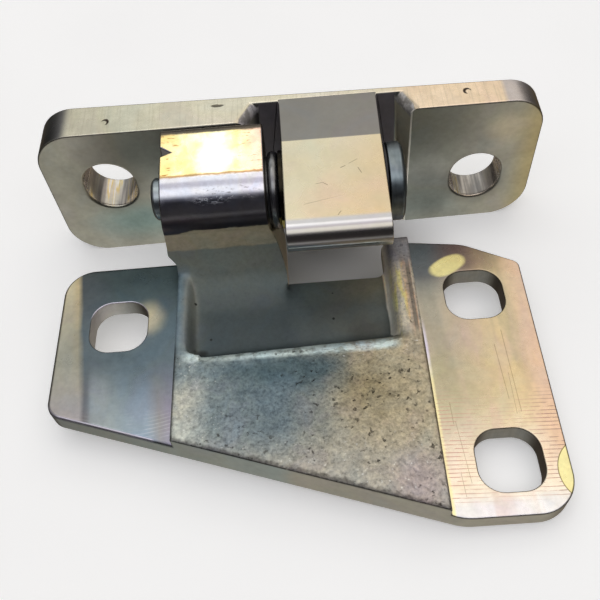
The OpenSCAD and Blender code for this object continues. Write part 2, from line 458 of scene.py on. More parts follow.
def is_cast(c, n):
    if not (-31.2 < c.x < 33.2 and c.z > 0.6) or c.x < -29.2 and c.z < 9.0:
        return False
    if -3.6 < c.x < 26.3 and c.y > 27.8 and n.z < 0.35 and (abs(n.x) > 0.7 or n.y > 0.7):
        return False
    on_rim = n.z < 0.3 and (n.y < -0.5 and c.y < 2 or c.y > 37 and n.y > 0.5)
    return not on_rim


def cut(bm, faces, axis, where):
    """Cut some faces along the plane where one axis has a given value in millimetres."""
    geom = set(faces)
    for f in faces:
        geom.update(f.edges)
        geom.update(f.verts)
    side = Vector([1.0 if k == axis else 0.0 for k in range(3)])
    bmesh.ops.bisect_plane(bm, geom=list(geom), dist=2e-5, plane_co=side * where * MM, plane_no=side)


bm = bmesh.new()
bm.from_mesh(pillar.data)
bm.normal_update()
cut(bm, [f for f in bm.faces if f.normal.x > 0.9 and abs(f.calc_center_median().x / MM) < 0.1], 1, 27.7)
for f in bm.faces:
    c = f.calc_center_median() / MM
    if is_barrel(c):
        f.material_index = BARREL
    elif is_cast(c, f.normal):
        f.material_index = CAST
# a regular grid over the cast part
GRID = 0.62
for axis, first_cut, last_cut in ((0, -31.0, 33.4), (1, -42.0, 56.0), (2, 0.6, 24.0)):
    for k in range(int((last_cut - first_cut) / GRID)):
        place = first_cut + (k + 0.37) * GRID
        across = []
        for f in bm.faces:
            if f.material_index == CAST:
                d = [v.co[axis] / MM - place for v in f.verts]
                if min(d) < -0.02 and max(d) > 0.02:
                    across.append(f)
        if across:
            cut(bm, across, axis, place)
bmesh.ops.triangulate(bm, faces=[f for f in bm.faces if f.material_index == CAST and len(f.verts) > 4])


def step(a, b, v):
    s = min(1.0, max(0.0, (v - a) / (b - a)))
    return s * s * (3 - 2 * s)


# soft cast edges: each free point moves towards its neighbours, most of all in the pocket and the web
bm.verts.index_update()
free = [v for v in bm.verts if v.link_faces and all(f.material_index == CAST for f in v.link_faces)]
where = np.array([v.co[:] for v in bm.verts]) / MM
ends = np.array([(e.verts[0].index, e.verts[1].index) for e in bm.edges])
a_end, b_end = np.concatenate((ends[:, 0], ends[:, 1])), np.concatenate((ends[:, 1], ends[:, 0]))
near = np.maximum(1, np.bincount(a_end, minlength=len(where)))[:, None]
pull = np.zeros(len(where))
first = np.zeros(len(where))
for v in free:
    x, y, z = where[v.index]
    first[v.index] = 0.5
    pull[v.index] = 0.5 * step(4.5, 10.0, y) * (0.10 + 0.90 * step(-29.0, -26.0, x) * (1 - step(27.0, 29.0, x)))
for again in range(34):
    goal = np.stack([np.bincount(a_end, weights=where[b_end, k], minlength=len(where)) for k in range(3)], axis=1) / near
    where += (goal - where) * (first if again < 2 else pull)[:, None]
for v in free:
    v.co = Vector(where[v.index]) * MM


PITS = [(23.5, -7.5, 1.3, 0.3), (21.0, -12.5, 1.0, 0.25),
        (14.0, -24.0, 0.9, 0.25), (18.5, -4.0, 0.9, 0.25), (27.5, -17.0, 0.8, 0.25), (-10.0, -12.0, 0.8, 0.2), (6.0, -15.0, 0.8, 0.2),
        (26.0, -28.0, 0.8, 0.25), (-24.0, -13.0, 0.8, 0.2), (12.0, -31.0, 0.8, 0.2)]

bm.normal_update()
moves = []
for v in free:
    x, y, z = v.co / MM
    smooth_part = step(5.0, 9.0, y) * step(-24.5, -22.0, x) * (1 - step(25.0, 27.0, x))
    p = Vector((x, y, z))
    h = 0.060 * noise.noise(p / 2.4) + 0.070 * noise.noise(p / 5.5) + 0.16 * noise.noise(p / 15.0)
    h *= (1.0 - 0.75 * smooth_part) * step(-28.9, -27.6, x) * (1 - step(31.8, 33.0, x))
    for px, py, pr, pd in PITS:
        q = math.hypot(x - px, y - py) / pr
        if q < 1.6:
            h -= pd * (1 - step(0.3, 1.6, q))
    moves.append(v.normal * h * MM)
for v, h in zip(free, moves):
    v.co += h
bm.to_mesh(pillar.data)
bm.free()
pillar.data.update()

pin = rounded("hinge_pin", "headed_pin", "pillar", lambda c, a, b, k, g: 0.3, 2)
inner_bush = rounded("inner_bush", "flanged_bush_inner", "door", lambda c, a, b, k, g: 0.15, 2)
outer_bush = rounded("outer_bush", "flanged_bush_outer", "door", lambda c, a, b, k, g: 0.15, 2)
seal = rounded("seal_ring", "seal_ring_visual", "pillar", lambda c, a, b, k, g: 0.15, 2)


# ---------------------------------------------------------------- materials
def tinted(t, base, strength=1.0, size=13.0, shift=(0.0, 0.0, 0.0), grain=1.0):
    """Chromate tints over a base colour: slow patches of rose, straw and blue-green, and fine mottling."""
    a = t.noise(size, 3.0, 0.55, 0.6, shift)
    patch = t.ramp(a, (0.30, (0.94, 1.02, 1.04)), (0.42, (1.0, 1.0, 1.0)), (0.52, (1.05, 1.0, 0.90)), (0.62, (1.05, 0.95, 0.96)), (0.72, (0.97, 0.97, 1.05)))
    c = t.mix(strength, base, patch, "MULTIPLY")
    fine = t.noise(1.6, 4.0, 0.65, 0.0, shift)
    return t.mix(grain, c, t.mix(1.0, c, t.ramp(fine, (0.30, (0.90, 0.90, 0.90)), (0.65, (1.04, 1.04, 1.04))), "MULTIPLY"))


def metal(name):
    m, t, b = material(name)
    b.inputs["Metallic"].default_value = 1.0
    return m, t, b


def scratches(t, along, size, width=0.60, shift=(0.0, 0.0, 0.0)):
    """Thin straight lines, 1 on a line: size is the spacing in millimetres, along the stretch on each axis."""
    n = t.noise(tuple(size * k for k in along), 2.0, 0.6, 0.0, shift)
    return t.span(n, width, width + 0.10)


# wings and rims of the pillar leaf
m, t, b = metal("wing_plating")
x, y, z = t.xyz()
nx, ny, nz = t.nxyz()
left = t.span(x, 0.0, -4.0)
# left wing: soft upright bands, darker towards the back; partly the plating's own tone, partly painted reflection
u = t.math("MULTIPLY_ADD", y, 0.117, x)
u = t.math("MULTIPLY_ADD", t.noise((3.0, 30.0, 9.0), 2.0), 1.6, t.math("SUBTRACT", u, 0.8))
bands = t.span(u, -62.0, -28.0, smooth=False)
col = t.ramp(
    bands,
    (0.00, rgb(184, 179, 184)), (0.27, rgb(184, 178, 182)), (0.305, rgb(132, 128, 132)), (0.335, rgb(142, 142, 146)), (0.37, rgb(172, 178, 181)), (0.46, rgb(176, 186, 188)),
    (0.60, rgb(160, 176, 188)), (0.76, rgb(158, 174, 190)), (0.84, rgb(160, 159, 161)), (0.92, rgb(158, 154, 170)), (1.00, rgb(158, 154, 176)))
back_half = t.ramp(bands, (0.20, rgb(232, 222, 190)), (0.27, rgb(228, 212, 170)), (0.31, rgb(100, 108, 110)), (0.60, rgb(92, 108, 112)), (1.00, rgb(88, 104, 108)))
col = t.mix(t.span(y, -12.0, 10.0), col, t.mix(t.span(y, 12.0, 34.0), t.mix(0.5, back_half, rgb(124, 140, 152)), back_half))
col = t.mix(t.math("MULTIPLY", t.both(t.span(bands, 0.32, 0.36), t.span(bands, 0.52, 0.43), t.span(y, 8.0, -4.0)), 0.7), col, rgb(168, 178, 184))
# a warm painted highlight on the left wing
glow = t.math("MULTIPLY", t.spot((-36.9, 20.4, 5.7), (6.0, 7.0, 6.0), 1.0, 0.12, 5.0), 0.9)
col = t.mix(glow, col, rgb(236, 226, 190))
# right wing: its gold, pale and dark patches are partly the plating's tone, partly painted reflection
gold_and_sheen = t.mix(t.span(t.math("MULTIPLY_ADD", y, 0.10, x), 36.0, 56.0), rgb(196, 188, 158), rgb(232, 210, 168))
gold_and_sheen = t.mix(t.both(t.span(t.noise((5.0, 40.0, 9.0), 2.0, 0.5, 0.2, (1.0, 2.0, 4.0)), 0.46, 0.62, 0.0, 0.45), t.span(y, -14.0, 0.0)), gold_and_sheen, rgb(176, 170, 142))
gold_and_sheen = t.mix(t.span(y, -6.0, -30.0), gold_and_sheen, rgb(250, 236, 214))
gold_and_sheen = t.mix(t.span(y, -31.0, -36.0), gold_and_sheen, rgb(236, 236, 238))
gold_and_sheen = t.mix(t.both(t.span(x, 53.5, 60.5), t.span(y, -30.0, -22.0)), gold_and_sheen, rgb(240, 208, 180))
gold_and_sheen = t.mix(t.both(t.span(t.noise((4.0, 26.0, 9.0), 2.0, 0.5, 0.3, (3.0, 7.0, 1.0)), 0.48, 0.68, 0.0, 0.35), t.span(x, 38.0, 44.0)), gold_and_sheen, rgb(226, 196, 184))
gold_and_sheen = t.mix(t.both(t.span(x, 34.3, 33.6), t.span(y, 16.0, 6.0)), gold_and_sheen, t.mix(t.span(y, 4.0, -5.0), rgb(238, 234, 238), rgb(252, 242, 190)))
gold_and_sheen = t.mix(t.both(t.span(y, 24.0, 31.0), t.span(x, 62.0, 44.0)), gold_and_sheen, rgb(132, 114, 104))
gold_and_sheen = t.mix(t.both(t.span(y, 16.0, 31.5), t.span(x, 46.0, 36.5)), gold_and_sheen, rgb(112, 119, 114))
gold_and_sheen = t.mix(t.both(t.span(y, -2.0, 8.0), t.span(x, 54.0, 44.0)), gold_and_sheen, t.mix(1.0, gold_and_sheen, (0.95, 0.94, 1.10), "MULTIPLY"))
# a painted highlight: a bright rounded patch on the right wing
sun = t.vec("SUBTRACT", t.mm(), (42.6, 30.2, 5.7))
sun_u = t.math("ABSOLUTE", t.math("DIVIDE", t.vec("DOT_PRODUCT", sun, (0.90, 0.44, 0.0)), 5.6))
sun_v = t.math("ABSOLUTE", t.math("DIVIDE", t.vec("DOT_PRODUCT", sun, (-0.44, 0.90, 0.0)), 2.9))
sun_d = t.math("ADD", t.math("POWER", sun_u, 2.4), t.math("POWER", sun_v, 2.4))
gold_and_sheen = t.mix(t.math("MULTIPLY", t.span(t.math("MULTIPLY_ADD", t.noise(4.0, 2.0), 0.5, sun_d), 1.35, 0.75), 0.97), gold_and_sheen, rgb(255, 243, 174))
scores = t.any(t.stroke((50.2, 5.0, 5.7), (50.8, -10.0, 5.7), 0.13), t.stroke((52.6, 9.0, 5.7), (53.0, -13.5, 5.7), 0.13), t.stroke((52.0, -3.0, 5.7), (51.9, -14.0, 5.7), 0.09),
               t.stroke((36.8, -10.0, 5.7), (36.9, -15.5, 5.7), 0.12), t.stroke((37.4, -15.0, 5.7), (38.6, -30.0, 5.7), 0.10), t.stroke((36.6, -27.5, 5.7), (36.9, -33.0, 5.7), 0.10))
gold_and_sheen = t.mix(t.math("MULTIPLY", scores, 0.5), gold_and_sheen, rgb(136, 116, 88))
# a small ground facet on the right edge
facet_d = t.vec("LENGTH", t.vec("MULTIPLY", t.vec("SUBTRACT", t.mm(), (66.0, -28.9, 5.7)), (1.0, 1.0, 0.0)))
facet = t.span(facet_d, 8.10, 8.0)
gold_and_sheen = t.mix(facet, gold_and_sheen, rgb(248, 238, 176))
facet_line = t.span(t.math("ABSOLUTE", t.math("SUBTRACT", facet_d, 8.05)), 0.16, 0.06)
gold_and_sheen = t.mix(t.math("MULTIPLY", facet_line, 0.85), gold_and_sheen, rgb(120, 108, 60))
col = t.mix(left, gold_and_sheen, col)
# outer rim, duller; the holes' walls are darker, which is painted shade
rim = t.span(nz, 0.75, 0.35)
lit = t.both(t.span(nz, 0.35, 0.55), t.span(nz, 0.97, 0.90), t.span(x, 0.0, -1.0), t.span(ny, 0.0, -0.3), t.span(x, -33.0, -34.0))
wall = t.math("MAXIMUM", t.spot((-44.5, 18.5, 3.0), (11.0, 11.0, 99.0), 0.05), t.math("MAXIMUM", t.spot((48.0, 20.5, 3.0), (11.0, 11.0, 99.0), 0.05), t.spot((48.0, -25.0, 3.0), (10.8, 10.8, 99.0), 0.05)))
streak = t.span(t.noise((0.7, 0.7, 30.0), 2.0, 0.6), 0.42, 0.62)
dull = t.mix(t.noise(7.0, 3.0), t.mix(left, rgb(150, 146, 134), rgb(144, 150, 144)), t.mix(left, rgb(176, 172, 158), rgb(168, 174, 167)))
col = t.mix(rim, col, t.mix(wall, dull, t.mix(t.math("MULTIPLY", streak, 0.2), rgb(122, 120, 114), rgb(146, 142, 134))))
# the left hole's far wall is painted pale and made less metallic: painted light
lit_hole_wall = t.both(rim, wall, t.span(x, -41.0, -48.0))
col = t.mix(lit_hole_wall, col, rgb(206, 204, 198))
web_end = t.both(t.span(x, -5.0, -4.6), t.span(x, 0.9, 0.6), t.span(y, 27.9, 28.3), t.span(nx, 0.3, 0.6))
col = t.mix(web_end, col, t.mix(t.span(z, 6.9, 6.4), t.mix(t.span(y, 36.0, 38.5), rgb(104, 102, 90), rgb(170, 160, 140)), rgb(234, 220, 196)))
col = t.mix(lit, col, rgb(238, 234, 246))
t.put(b.inputs["Metallic"], t.lerp(t.any(lit_hole_wall, web_end), 1.0, 0.2))
# cutter marks: slow arcs on the left wing, fine lines across the right one
ring_d = t.vec("LENGTH", t.vec("MULTIPLY", t.vec("SUBTRACT", t.mm(), (-41.0, 34.0, 5.7)), (1.0, 1.0, 0.0)))
arcs = t.math("SINE", t.math("MULTIPLY_ADD", t.noise(6.0, 2.0), 3.0, t.math("MULTIPLY", ring_d, 6.6)))
lines = t.math("SINE", t.math("MULTIPLY_ADD", t.noise((14.0, 20.0, 9.0), 2.0), 4.0, t.math("MULTIPLY_ADD", x, 0.22, t.math("MULTIPLY", y, 6.5))))
arc_on = t.both(left, t.span(nz, 0.9, 0.98), t.span(y, -5.0, -12.0), t.span(t.noise(7.0, 2.0, 0.5, 0.0, (2.0, 1.0, 0.0)), 0.40, 0.58))
line_on = t.both(t.span(x, 33.2, 34.2), t.span(y, -4.0, -15.0), t.span(y, -35.5, -33.0), t.span(nz, 0.9, 0.98), t.math("SUBTRACT", 1.0, facet))
broken = t.span(t.noise((2.5, 0.6, 9.0), 2.0, 0.5, 0.0, (5.0, 0.0, 2.0)), 0.38, 0.50)
near_edge = t.span(t.math("ABSOLUTE", t.math("SUBTRACT", x, 47.0)), 3.0, 12.0, 0.30, 0.9)
thin = t.both(t.span(lines, 0.62, 0.95), broken, line_on)
col = t.mix(t.both(thin, near_edge), col, t.mix(t.span(x, 54.0, 60.5), rgb(204, 160, 146), rgb(166, 140, 130)))
col = t.mix(t.both(arc_on, t.span(arcs, 0.3, 1.0, 0.0, 0.30)), col, rgb(226, 228, 234))
t.put(b.inputs["Base Color"], tinted(t, col, 0.45))
rough = t.lerp(left, t.span(t.noise(6.0, 3.0), 0.3, 0.7, 0.24, 0.34), t.span(t.noise(6.0, 3.0), 0.3, 0.7, 0.27, 0.38))
t.put(b.inputs["Roughness"], t.lerp(rim, rough, 0.42))
h = t.math("ADD", t.math("MULTIPLY", arcs, t.math("MULTIPLY", arc_on, 0.4)), t.math("MULTIPLY", thin, -0.9))
h = t.math("ADD", h, t.math("MULTIPLY", t.noise((0.35, 5.0, 1.0), 3.0, 0.6), t.math("MULTIPLY", t.span(nz, 0.6, 0.9), 0.5)))
n1 = t.bump(h, 0.30, 0.02)
t.put(b.inputs["Normal"], t.bump(t.noise(0.9, 3.0, 0.6), 0.14, 0.05, n1))
pillar.data.materials.append(m)

# as-cast centre
m, t, b = metal("cast_skin")
x, y, z = t.xyz()
nx, ny, nz = t.nxyz()
pocket = t.both(t.span(y, 6.6, 8.8), t.span(x, -28.4, -26.6), t.span(x, 30.6, 28.6))
pocket = t.math("MAXIMUM", pocket, t.both(t.span(z, 8.8, 10.0), t.span(y, 24.0, 26.0)))
high = t.both(t.span(t.math("MULTIPLY_ADD", t.noise(3.0, 3.0), 1.4, z), 15.8, 16.7), t.span(y, 30.0, 33.0))
grain = t.noise(0.8, 4.0, 0.66)
blotch = t.noise(3.2, 3.0, 0.6, 0.0, (7.0, 3.0, 1.0))
coarse_on = t.both(t.span(t.math("MULTIPLY_ADD", y, -0.25, x), -12.0, 10.0, 0.35, 1.0), t.math("SUBTRACT", 1.0, pocket), t.span(y, 12.0, 6.0, 0.3, 1.0))
col = t.mix(t.span(x, -8.0, 22.0), rgb(134, 147, 152), rgb(184, 174, 150))
col = t.mix(t.span(y, -13.0, -30.0), col, rgb(180, 176, 166))
col = t.mix(t.both(t.span(x, -18.0, -26.0), t.span(y, 2.0, -6.0)), col, rgb(192, 194, 186))
col = t.mix(t.math("MULTIPLY", t.spot((17.5, -6.0, 9.0), (12.0, 12.0, 9.0), 0.9, 0.40, 5.0), 0.62), col, rgb(142, 130, 98))
col = t.mix(t.math("MULTIPLY", t.spot((27.0, -30.0, 9.0), (9.0, 11.0, 9.0), 0.9), 0.6), col, rgb(188, 172, 178))
col = t.mix(t.math("MULTIPLY", t.both(t.spot((0.0, -0.3, 9.0), (27.0, 8.5, 9.0), 0.8, 0.30, 5.0), t.span(x, 20.0, 8.0)), 0.92), col, rgb(80, 100, 109))
col = t.mix(t.math("MULTIPLY", t.spot((-5.0, -10.0, 9.0), (20.0, 13.0, 9.0), 0.9, 0.40, 7.0), 0.72), col, rgb(100, 116, 126))
# a painted highlight along the pocket's lip, less metallic so it catches more light
lip_highlight = t.both(t.span(y, 3.4, 5.0), t.span(y, 8.4, 6.6), t.span(x, -28.0, -24.0), t.span(x, 28.0, 24.0), t.span(t.noise(3.0, 3.0, 0.6, 0.0, (3.0, 3.0, 3.0)), 0.36, 0.56, 0.40, 1.0))
col = t.mix(lip_highlight, col, rgb(236, 255, 255))
rib_r = t.both(t.span(x, 26.5, 28.6), t.span(y, 6.0, 12.0))
streaky = t.noise((1.6, 9.0, 4.0), 3.0, 0.6, 0.4)
col = t.mix(t.both(t.span(x, -24.5, -26.5), t.span(y, 6.0, 12.0)), col, rgb(124, 146, 156))
# the pocket's colour: darker down towards its floor, painted shade
dark = t.ramp(t.span(t.math("MULTIPLY_ADD", blotch, 1.5, z), 4.0, 18.0, smooth=False), (0.0, rgb(84, 96, 98)), (0.22, rgb(98, 108, 106)), (0.55, rgb(130, 136, 130)), (1.0, rgb(132, 137, 132)))
dark = t.mix(t.both(t.span(x, 0.0, 16.0), t.span(y, 8.0, 14.0)), dark, t.mix(0.5, dark, rgb(126, 128, 118)))
# faces turned towards the front are lightened: painted light
dark = t.mix(t.span(ny, -0.25, -0.75), dark, t.mix(1.0, dark, (1.35, 1.35, 1.30), "MULTIPLY"))
# darker patches on the pocket floor: painted shade
dark = t.mix(t.both(t.span(y, 26.0, 18.0), t.span(x, 4.0, -2.0), t.span(x, -25.0, -20.0)), dark, t.mix(1.0, dark, (0.62, 0.66, 0.70), "MULTIPLY"))
dark = t.mix(t.both(t.span(y, 19.0, 13.0), t.span(x, 12.0, 18.0)), dark, t.mix(1.0, dark, (0.68, 0.66, 0.64), "MULTIPLY"))
# the pocket's side walls and the left flare are lightened: painted light
dark = t.mix(t.both(t.span(x, -25.0, -26.5), t.span(z, 12.0, 9.0)), dark, rgb(136, 150, 154))
dark = t.mix(t.both(t.span(nx, 0.05, 0.60), t.span(x, -20.0, -22.0), t.span(y, 12.0, 26.0, 0.12, 0.40), t.span(z, 15.0, 10.0)), dark, rgb(206, 208, 196))
dark = t.mix(t.both(t.span(nx, t.span(y, 14.0, 20.0, -0.50, -0.25), t.span(y, 14.0, 20.0, -0.80, -0.55)), t.span(x, 18.0, 20.0), t.span(z, 12.0, 9.5)), dark, t.mix(t.span(y, 12.0, 19.0), rgb(220, 216, 202), t.mix(t.span(streaky, 0.42, 0.60), rgb(240, 234, 216), rgb(255, 252, 240))))
# the back of the pocket floor is lightened and warmed: painted light
dark = t.mix(t.both(t.span(y, 19.0, 26.0), t.span(x, 1.0, 6.0), t.span(nz, 0.7, 0.9)), dark, t.mix(1.0, dark, t.mix(t.span(x, 8.0, 22.0), (1.35, 1.38, 1.34), (1.60, 1.42, 1.16)), "MULTIPLY"))
col = t.mix(pocket, col, dark)
ribs = t.mix(t.span(x, 29.0, 31.4), t.mix(t.span(streaky, 0.44, 0.60), rgb(230, 222, 202), rgb(250, 240, 164)), t.mix(t.span(streaky, 0.42, 0.62), rgb(200, 180, 158), rgb(236, 178, 138)))
ribs = t.mix(t.both(t.span(x, 30.9, 31.3), t.span(x, 32.3, 31.9)), ribs, rgb(140, 130, 116))
ribs = t.mix(t.span(x, 32.0, 32.5), ribs, rgb(224, 216, 198))
ribs = t.mix(t.span(y, 27.0, 33.0), ribs, rgb(168, 166, 170))
ribs = t.mix(1.0, ribs, t.ramp(grain, (0.30, (0.74, 0.75, 0.75)), (0.50, (1.0, 1.0, 1.0)), (0.66, (1.14, 1.14, 1.10))), "MULTIPLY")
col = t.mix(t.both(t.span(x, 26.2, 27.6), t.span(y, 6.0, 12.0)), col, ribs)
col = t.mix(high, col, t.mix(t.noise(1.8, 4.0, 0.6), rgb(168, 160, 134), rgb(212, 204, 178)))
col = t.mix(1.0, col, t.mix(t.math("MULTIPLY", t.any(pocket, lip_highlight, t.span(y, 5.0, 9.0)), 0.85), t.ramp(grain, (0.28, (0.64, 0.65, 0.65)), (0.46, (0.96, 0.96, 0.96)), (0.66, (1.12, 1.12, 1.10))), (1.0, 1.0, 1.0)), "MULTIPLY")
mottle = t.ramp(t.noise(2.3, 3.0, 0.6, 0.4, (2.0, 9.0, 4.0)), (0.34, (0.82, 0.83, 0.84)), (0.50, (1.0, 1.0, 1.0)), (0.66, (1.14, 1.13, 1.10)))
col = t.mix(t.math("SUBTRACT", 1.0, t.any(pocket, lip_highlight)), col, t.mix(1.0, col, mottle, "MULTIPLY"))
glint = t.both(t.span(t.noise(0.9, 3.0, 0.6, 0.0, (6.0, 1.0, 3.0)), 0.62, 0.70), t.any(t.span(x, -14.0, -22.0), t.span(y, -14.0, -24.0), t.both(t.span(y, 0.0, 4.0), t.span(x, 6.0, 14.0))), t.span(y, 8.0, 6.0))
col = t.mix(t.math("MULTIPLY", glint, 0.55), col, rgb(238, 240, 236))
# small dark pits in the cast skin, and dark patches in the pocket's front corners that are painted shade
pits_and_corner_shade = t.any(*[t.spot(c, (r, r, 2.5), 0.5) for c, r in (((-24.6, 24.0, 5.5), 0.45), ((-20.6, 13.6, 4.6), 0.5), ((11.3, 17.2, 4.6), 0.5), ((11.6, 25.0, 5.6), 0.40), ((-27.2, 32.5, 8.5), 0.5))])
pits_and_corner_shade = t.any(pits_and_corner_shade, t.spot((-22.8, 9.6, 5.0), (2.6, 1.7, 3.4), 0.6, 0.28, 1.5), t.spot((22.5, 9.4, 5.0), (4.6, 0.8, 3.4), 0.8))
col = t.mix(t.math("MULTIPLY", pits_and_corner_shade, 0.9), col, rgb(18, 22, 20))
front_line = t.both(t.span(t.math("MULTIPLY_ADD", x, 0.335, t.math("MULTIPLY_ADD", t.noise(1.6, 3.0), 1.6, y)), -23.4, -24.6), t.span(z, 8.2, 8.6))
col = t.mix(t.math("MULTIPLY", front_line, 0.6), col, rgb(50, 44, 40))
hollow = t.both(t.span(t.noise(1.5, 3.0, 0.55, 0.0, (4.0, 2.0, 9.0)), 0.60, 0.70), t.lerp(pocket, 1.0, 0.15), t.span(t.noise(12.0, 2.0, 0.5, 0.0, (1.0, 8.0, 3.0)), 0.40, 0.58))
col = t.mix(t.math("MULTIPLY", hollow, 0.75), col, rgb(52, 50, 44))
t.put(b.inputs["Base Color"], tinted(t, col, 0.5, 9.0))
calm = t.math("MAXIMUM", pocket, t.both(t.math("MAXIMUM", t.span(x, 26.8, 28.4), t.span(x, -24.5, -26.5)), t.span(y, 6.0, 12.0)))
t.put(b.inputs["Metallic"], t.lerp(calm, t.lerp(lip_highlight, 0.92, 0.55), 0.30))
t.put(b.inputs["Roughness"], t.lerp(high, t.lerp(pocket, t.span(grain, 0.3, 0.7, 0.46, 0.34), 0.46), 0.70))
coarse = t.math("SUBTRACT", t.math("MULTIPLY_ADD", t.noise(0.55, 3.0, 0.6), 0.35, grain), t.math("MULTIPLY", hollow, 0.9))
n1 = t.bump(t.math("MULTIPLY", coarse, t.math("MAXIMUM", t.lerp(pocket, coarse_on, 0.06), t.math("MAXIMUM", t.math("MULTIPLY", high, 0.8), t.math("MULTIPLY", rib_r, 0.6)))), 0.75, 0.20)
t.put(b.inputs["Normal"], n1)
pillar.data.materials.append(m)

# barrel with its bright flat
m, t, b = metal("barrel_plating")
x, y, z = t.xyz()
nx, ny, nz = t.nxyz()
edge = t.math("MULTIPLY_ADD", t.noise((3.0, 1.2, 2.0), 3.0, 0.6), 0.9, y)
flat = t.both(t.span(edge, 41.6, 42.2), t.span(nz, 0.85, 0.95))
low_part = t.both(t.span(z, 20.0, 16.0), t.span(y, 40.0, 46.0))
rough_z = t.math("MULTIPLY_ADD", t.noise((5.0, 2.0, 2.0), 3.0, 0.6), 2.6, t.math("SUBTRACT", z, 1.3))
cast_part = t.both(t.span(rough_z, t.span(x, -20.0, -29.0, 23.9, 22.2), t.span(x, -20.0, -29.0, 23.1, 21.4)), t.span(y, 44.0, 42.0))
shade = t.both(t.span(z, 30.0, 27.0), t.span(y, 44.0, 42.0))
silver = t.mix(t.noise((9.0, 3.0, 3.0), 3.0, 0.6), rgb(226, 228, 232), rgb(206, 206, 216))
scuff = t.both(t.span(t.noise((1.5, 0.6, 0.6), 3.0, 0.6), 0.50, 0.60), t.spot((-16.5, 36.6, 31.6), (7.0, 4.0, 1.8), 0.8))
worn_spot = t.both(t.span(t.noise((1.2, 0.5, 0.5), 3.0, 0.6, 0.0, (3.0, 3.0, 0.0)), 0.56, 0.66), t.spot((-12.0, 37.0, 33.0), (12.0, 5.0, 3.0), 0.8))
silver = t.mix(t.math("MULTIPLY", worn_spot, 0.45), silver, rgb(150, 148, 148))
gold_and_sheen = t.mix(t.span(t.noise((3.5, 6.0, 4.0), 3.0, 0.55, 0.4), 0.40, 0.60), rgb(246, 228, 164), rgb(250, 240, 196))
# a near-white painted highlight in the middle of the flat
gold_and_sheen = t.mix(t.spot((-15.0, 47.0, 36.0), (6.0, 9.0, 6.0), 0.8), gold_and_sheen, rgb(255, 252, 238))
gold_and_sheen = t.mix(t.span(x, -10.0, -4.5), gold_and_sheen, rgb(246, 214, 190))
gold_and_sheen = t.mix(t.both(t.span(x, -22.0, -28.0), 0.6), gold_and_sheen, rgb(250, 226, 150))
gold_and_sheen = t.mix(t.math("MULTIPLY", t.span(t.noise((2.4, 0.5, 2.0), 3.0, 0.6, 0.0, (8.0, 1.0, 2.0)), 0.58, 0.68), t.math("MAXIMUM", t.span(x, -12.0, -6.0), t.span(x, -22.0, -26.0))), gold_and_sheen, rgb(176, 132, 76))
gold_and_sheen = t.mix(t.span(edge, 42.9, 42.2), gold_and_sheen, rgb(168, 138, 96))
col = t.mix(flat, silver, gold_and_sheen)
ends = t.span(t.math("ABSOLUTE", nx), 0.6, 0.9)
# a darker strip on the barrel's back rounding: painted shade
col = t.mix(t.both(t.span(edge, 53.6, 54.6), t.span(nz, 0.2, 0.4)), col, rgb(112, 104, 92))
col = t.mix(shade, col, rgb(96, 88, 94))
col = t.mix(t.math("MULTIPLY", scuff, 0.9), col, rgb(232, 232, 238))
col = t.mix(t.math("MAXIMUM", ends, low_part), col, rgb(110, 106, 96))
col = t.mix(cast_part, col, t.mix(t.noise(1.8, 4.0, 0.6), rgb(168, 160, 134), rgb(212, 204, 178)))
t.put(b.inputs["Metallic"], t.lerp(cast_part, 1.0, 0.30))
t.put(b.inputs["Base Color"], tinted(t, col, 0.6, 9.0))
r = t.lerp(flat, t.span(t.noise(3.0, 3.0), 0.3, 0.7, 0.11, 0.19), t.span(t.noise(4.0, 3.0), 0.3, 0.7, 0.22, 0.32))
r = t.lerp(shade, r, 0.30)
r = t.lerp(t.math("MAXIMUM", scuff, worn_spot), r, 0.42)
r = t.lerp(cast_part, r, 0.70)
t.put(b.inputs["Roughness"], t.lerp(t.math("MAXIMUM", low_part, ends), r, 0.45))
n1 = t.bump(t.noise((6.0, 0.5, 0.5), 3.0, 0.6), 0.10, 0.02)
t.put(b.inputs["Normal"], t.bump(t.math("MULTIPLY", t.noise(0.9, 3.0, 0.6), t.lerp(t.math("MAXIMUM", low_part, cast_part), 0.06, 1.0)), 0.5, 0.09, n1))
pillar.data.materials.append(m)

# door leaf
m, t, b = metal("door_plating")
x, y, z = t.xyz()
nx, ny, nz = t.nxyz()
in_arm = t.both(t.span(x, 1.0, 1.25), t.span(x, 26.7, 26.45), t.span(y, 65.6, 65.45))
top = t.both(t.span(nz, 0.72, 0.92), t.span(y, 56.5, 57.5))
away = t.math("ABSOLUTE", t.math("SUBTRACT", x, 12.0))
# the plate's front face: partly the plating's tone, partly painted reflection, with darker patches round the bolt holes
# and low down that are painted shade
face = t.mix(t.span(away, 24.0, 56.0), rgb(146, 150, 144), rgb(172, 169, 156))
face = t.mix(t.spot((-42.0, 58.0, 2.0), (20.0, 8.0, 12.0), 0.9), face, rgb(138, 156, 150))
face = t.mix(t.math("MULTIPLY", t.math("MAXIMUM", t.spot((-47.5, 58.0, 15.6), (12.0, 9.0, 12.5), 0.6), t.spot((54.4, 58.0, 8.5), (12.0, 9.0, 12.5), 0.6)), 0.55), face, rgb(112, 108, 100))
face = t.mix(t.spot((62.0, 58.0, 27.0), (9.0, 8.0, 8.0), 0.9), face, rgb(196, 188, 164))
face = t.mix(t.span(x, 62.0, 69.5), face, rgb(188, 174, 134))
face = t.mix(t.math("MULTIPLY", t.spot((41.0, 58.0, 3.0), (11.0, 9.0, 14.0), 0.8), 0.7), face, rgb(108, 112, 106))
shine = t.mix(t.span(x, -60.0, 4.0), rgb(210, 207, 184), rgb(234, 228, 206))
shine = t.mix(t.span(x, 24.0, 38.0), shine, rgb(246, 224, 196))
